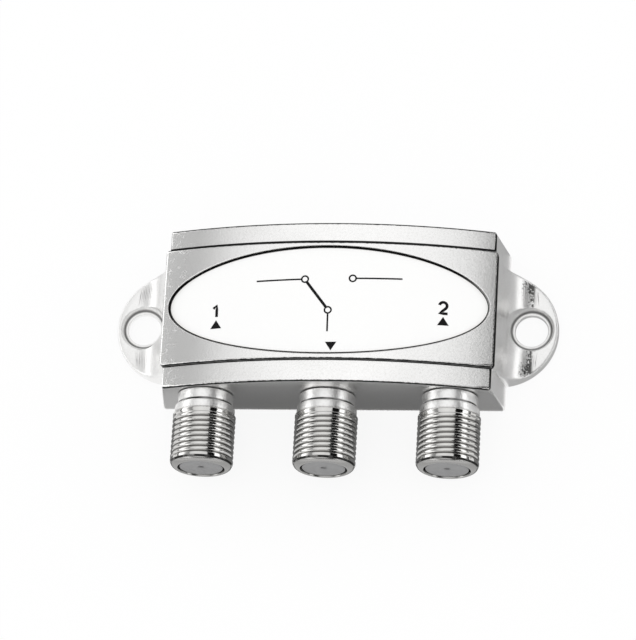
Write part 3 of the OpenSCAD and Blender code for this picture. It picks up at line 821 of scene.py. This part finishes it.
def add_terminal(shape, x, y, size):
    """A small open circle, as a switch's diagram has at each terminal."""
    points = 24
    add_ribbon(shape, bow(x, y, size, 0, 360 - 360 / points, points - 1), line_w, True)


def add_arrow(shape, x, y, point):
    """A solid triangle that points up or down the label."""
    half, height = 0.85, 1.35
    base_y, tip_y = y - point * height / 2, y + point * height / 2
    outline = [(x - half, base_y), (x + half, base_y), (x, tip_y)]
    rings = [[shape.verts.new(on_film(printed(*at), lift)) for at in outline] for lift in (0, ink_t)]
    shape.faces.new(rings[0])
    shape.faces.new(rings[1])
    for k in range(3):
        shape.faces.new((rings[0][k], rings[0][(k + 1) % 3], rings[1][(k + 1) % 3], rings[1][k]))


def border_path():
    """The label's oval edge, moved in by half the border's width."""
    half_x, half_y, steps = label_high[0], label_high[1], 200
    points = []
    for k in range(steps):
        turn = 2 * math.pi * k / steps
        out = Vector((math.cos(turn) / half_x, math.sin(turn) / half_y)).normalized()
        points.append(Vector((half_x * math.cos(turn), half_y * math.sin(turn))) - out * border_w / 2)
    return points


def label_print_mesh():
    shape = bmesh.new()
    add_ribbon(shape, border_path(), border_w, True)
    input_x, arrow_y, output_x, output_y = 17.1, -3.0, 0.6, -7.35
    number_y, number_half = -0.9, 0.9
    lane_y, lane_x, throw_x, pole_y, pole_l, terminal_r = 3.4, 11, 3.6, -1.6, 3.4, 0.5
    add_arrow(shape, -input_x, arrow_y, 1)
    add_arrow(shape, input_x, arrow_y, 1)
    add_arrow(shape, output_x, output_y, -1)
    top_y, foot_y = number_y + number_half, number_y - number_half
    one_stem_x = -input_x + 0.05
    one = straight((-input_x - 0.5, number_y + 0.45), (one_stem_x, top_y), (one_stem_x, foot_y))
    two = bow(input_x, number_y + 0.35, 0.55, 170, -35)
    two += straight((input_x + 0.4, number_y - 0.05), (input_x - 0.55, foot_y), (input_x + 0.65, foot_y))
    add_ribbon(shape, one, heavy_w)
    add_ribbon(shape, two, heavy_w)
    for side in (-1, 1):
        add_terminal(shape, side * throw_x, lane_y, terminal_r)
        add_ribbon(shape, straight((side * (throw_x + terminal_r), lane_y), (side * lane_x, lane_y)), line_w)
    add_terminal(shape, 0, pole_y, terminal_r)
    add_ribbon(shape, straight((0, pole_y - terminal_r), (0, pole_y - pole_l)), line_w)
    add_ribbon(shape, straight((-0.28, pole_y + 0.42), (-throw_x + 0.25, lane_y - 0.42)), heavy_w)
    bmesh.ops.recalc_face_normals(shape, faces=shape.faces)
    mesh = bpy.data.meshes.new("label print")
    shape.to_mesh(mesh)
    shape.free()
    return mesh


dress(label_film(), "label")
label_print = add_piece("label_print", label_print_mesh())
label_print.data.materials.append(black_ink())
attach(label_print, "switch")

# Stage: a white matt floor under an even white studio sky, with a soft strip lamp at each side. Cards that
# only the polish of the metal sees stand and lie where a product photographer puts them to draw its edges.
white = (1, 1, 1, 1)
floor_half, floor_z, floor_glow = 4.0, -0.02 * mm, 0.88
sky_level, card_distance, lamp_distance = 0.96, 1.6, 1.12


def seen_by_eye(wire):
    """1 for rays that picture a surface, straight or in metal and glass, 0 for those that light others."""
    rays = ("Is Camera Ray", "Is Glossy Ray", "Is Transmission Ray")
    return most(wire, *(wire.node("LightPath", {}, {}, ray) for ray in rays))


def floor_finish():
    made, wire = new_finish("white studio floor")
    paper, hollows = (0.955, 0.955, 0.955, 1), (0.945, 0.945, 0.945, 1)
    tone = mixed(wire, mottle(wire, 1.2 * mm, 3.0), paper, hollows)
    matt = wire.node("BsdfDiffuse", {}, {"Color": tone})
    glow = wire.node("Emission", {}, {"Color": white, "Strength": 1.0})
    surface = wire.node("MixShader", {}, {0: seen_by_eye(wire) * floor_glow, 1: matt, 2: glow})
    wire.node("OutputMaterial", {}, {"Surface": surface})
    return made


def flat_sheet(name, x_range, y_range, z):
    mesh = bpy.data.meshes.new(name)
    corners = [(x_range[0], y_range[0], z), (x_range[1], y_range[0], z)]
    corners += [(x_range[1], y_range[1], z), (x_range[0], y_range[1], z)]
    mesh.from_pydata(corners, [], [(0, 1, 2, 3)])
    return mesh


floor_mesh = flat_sheet("floor", (-floor_half, floor_half), (-floor_half, floor_half), floor_z)
floor_mesh.materials.append(floor_finish())
add_piece("floor", floor_mesh)


def add_card(name, mesh, level, stops=None):
    """Puts up a card that only polished metal sees; stops make its glow follow the lean, left to right."""
    made, wire = new_finish(name)
    glow = white
    if stops:
        x, z = axes(wire, "XZ")
        lean = wire.maths("ARCTAN2", x, z) * (1 / math.pi) + 0.5
        glow = wire.node("ValToRGB", {"stops": stops}, {"Fac": lean}, "Color")
    surface = wire.node("Emission", {}, {"Color": glow, "Strength": level})
    wire.node("OutputMaterial", {}, {"Surface": surface})
    mesh.materials.append(made)
    piece = add_piece(name, mesh)
    piece.visible_camera = False
    piece.visible_diffuse = False
    piece.visible_shadow = False


def way_out(lean, forward):
    """The direction that leans by so many degrees from overhead to the right, with a share along +Y."""
    flat = math.sqrt(1 - forward ** 2)
    return Vector((flat * math.sin(math.radians(lean)), forward, flat * math.cos(math.radians(lean))))


def bent_sheet(name, lean_range, forward_range):
    """A patch of a sphere about the object, between two leans and two forward shares."""
    steps = 24
    points, faces = [], []
    for i in range(steps + 1):
        lean = lean_range[0] + (lean_range[1] - lean_range[0]) * i / steps
        for k in range(steps + 1):
            forward = forward_range[0] + (forward_range[1] - forward_range[0]) * k / steps
            points.append(way_out(lean, forward) * card_distance)
    for i in range(steps):
        for k in range(steps):
            at = i * (steps + 1) + k
            faces.append((at, at + 1, at + steps + 2, at + steps + 1))
    mesh = bpy.data.meshes.new(name)
    mesh.from_pydata(points, [], faces)
    return mesh


left_stops = [(-89, 0.06), (-83, 0.12), (-79, 1.9), (-66, 1.9), (-61, 1.6), (-57, 1.2), (-53, 0.78),
              (-50, 0.52), (-46, 0.42), (-42, 0.36), (-35.5, 0.36), (-34.5, 0.82), (-23, 0.97), (-15, 1.04),
              (-6, 1.07), (0, 1.06), (6, 1.03), (14, 0.98), (20, 0.94), (28, 0.90), (29, 0.008)]
right_stops = [(55, 0.008), (56.5, 1.3), (60, 1.9), (73, 1.9), (77, 0.95), (81, 0.30), (84, 0.10), (89, 0.06)]
low_right_stops = [(72, 0.008), (73.5, 1.3), (76, 1.9), (82, 1.9), (86, 0.30), (89, 0.06)]
vault_half, vault_peak = 89, 2.0
for name, forward_range, stops in (("vault", (-0.45, 0.82), left_stops + right_stops),
                                   ("low_vault", (-0.93, -0.45), left_stops + low_right_stops)):
    add_card(name, bent_sheet(name, (-vault_half, vault_half), forward_range), vault_peak,
             [((lean + 90) / 180, level / vault_peak) for lean, level in stops])
end_card_leans = (-75, 75)
add_card("front_card", bent_sheet("front_card", end_card_leans, (-0.99, -0.94)), 0.34)
add_card("back_card", bent_sheet("back_card", end_card_leans, (0.83, 0.99)), 0.60)
card_z = 0.03 * mm
across, wall_band, side_band = (-40, 40), (-17.5, -12.7), (-12, 60)
for name, x_range, y_range, level in (
        ("wall_left_card", (-40, -21), wall_band, 0.42),
        ("wall_card", (-21, 19), wall_band, 0.14),
        ("wall_right_card", (19, 40), wall_band, 0.26),
        ("port_card", across, (-24.5, -17.5), 0.20),
        ("mouth_card", across, (-40, -24.5), 0.75),
        ("back_near_card", across, (12.7, 22), 0.34),
        ("back_far_card", (-60, 60), (22, 45), 0.60),
        ("left_floor_card", (-120, -40), side_band, 0.60),
        ("right_floor_card", (26.5, 120), side_band, 0.45)):
    edges = [tuple(edge * mm for edge in side) for side in (x_range, y_range)]
    add_card(name, flat_sheet(name, *edges, card_z), level)


def soft_lamp(name, lean):
    """A strip lamp at one side: its width runs front to back, its height from overhead down to the side."""
    forward, width, height, power = 0.30, 1.1, 0.47, 1.5
    lamp = bpy.data.lights.new(name, "AREA")
    lamp.shape = "RECTANGLE"
    lamp.size, lamp.size_y = width, height
    lamp.energy = power
    piece = bpy.data.objects.new(name, lamp)
    way = way_out(lean, forward)
    piece.location = way * lamp_distance
    piece.rotation_euler = way.to_track_quat("Z", "Y").to_euler()
    piece.visible_camera = False
    piece.visible_glossy = False
    bpy.context.scene.collection.objects.link(piece)


soft_lamp("left_strip_lamp", -65)
soft_lamp("right_strip_lamp", 64)

sky = bpy.data.worlds.new("studio sky")
sky.use_nodes = True
sky.node_tree.nodes.clear()
sky_wire = Wire(sky.node_tree)
lit = sky_wire.node("Background", {}, {"Color": white, "Strength": sky_level})
pictured = sky_wire.node("Background", {}, {"Color": white, "Strength": 1.0})
straight_on = sky_wire.node("LightPath", {}, {}, "Is Camera Ray")
sky_light = sky_wire.node("MixShader", {}, {0: straight_on, 1: lit, 2: pictured})
sky_wire.node("OutputWorld", {}, {"Surface": sky_light})
bpy.context.scene.world = sky

# Camera: stands high above the front, to the right, and is rolled so that the part lies level in the frame.
# Its lens gives the scale, in pixels per millimetre, at which the part fills an image of this height.
view_azimuth, view_elevation, view_roll = math.radians(22.725), math.radians(67.879), math.radians(-21.013)
view_target, view_distance = Vector((-2.183, -0.257, 6.0)) * mm, 659.2 * mm
image_h, pixels_per_mm, sensor = 640, 6.628, 36.0
back = Vector((math.sin(view_azimuth) * math.cos(view_elevation),
               -math.cos(view_azimuth) * math.cos(view_elevation), math.sin(view_elevation)))
level_right = Vector((math.cos(view_azimuth), math.sin(view_azimuth), 0))
level_up = back.cross(level_right)
right = math.cos(view_roll) * level_right + math.sin(view_roll) * level_up
up = math.cos(view_roll) * level_up - math.sin(view_roll) * level_right
placed = Matrix((right, up, back)).transposed().to_4x4()
placed.translation = view_target + back * view_distance
lens = bpy.data.cameras.new("camera")
lens.sensor_fit = "VERTICAL"
lens.sensor_height = sensor
lens.lens = sensor * pixels_per_mm * view_distance / mm / image_h
camera = bpy.data.objects.new("camera", lens)
camera.matrix_world = placed
bpy.context.scene.collection.objects.link(camera)
bpy.context.scene.camera = camera
bpy.context.scene.view_settings.view_transform = "Standard"
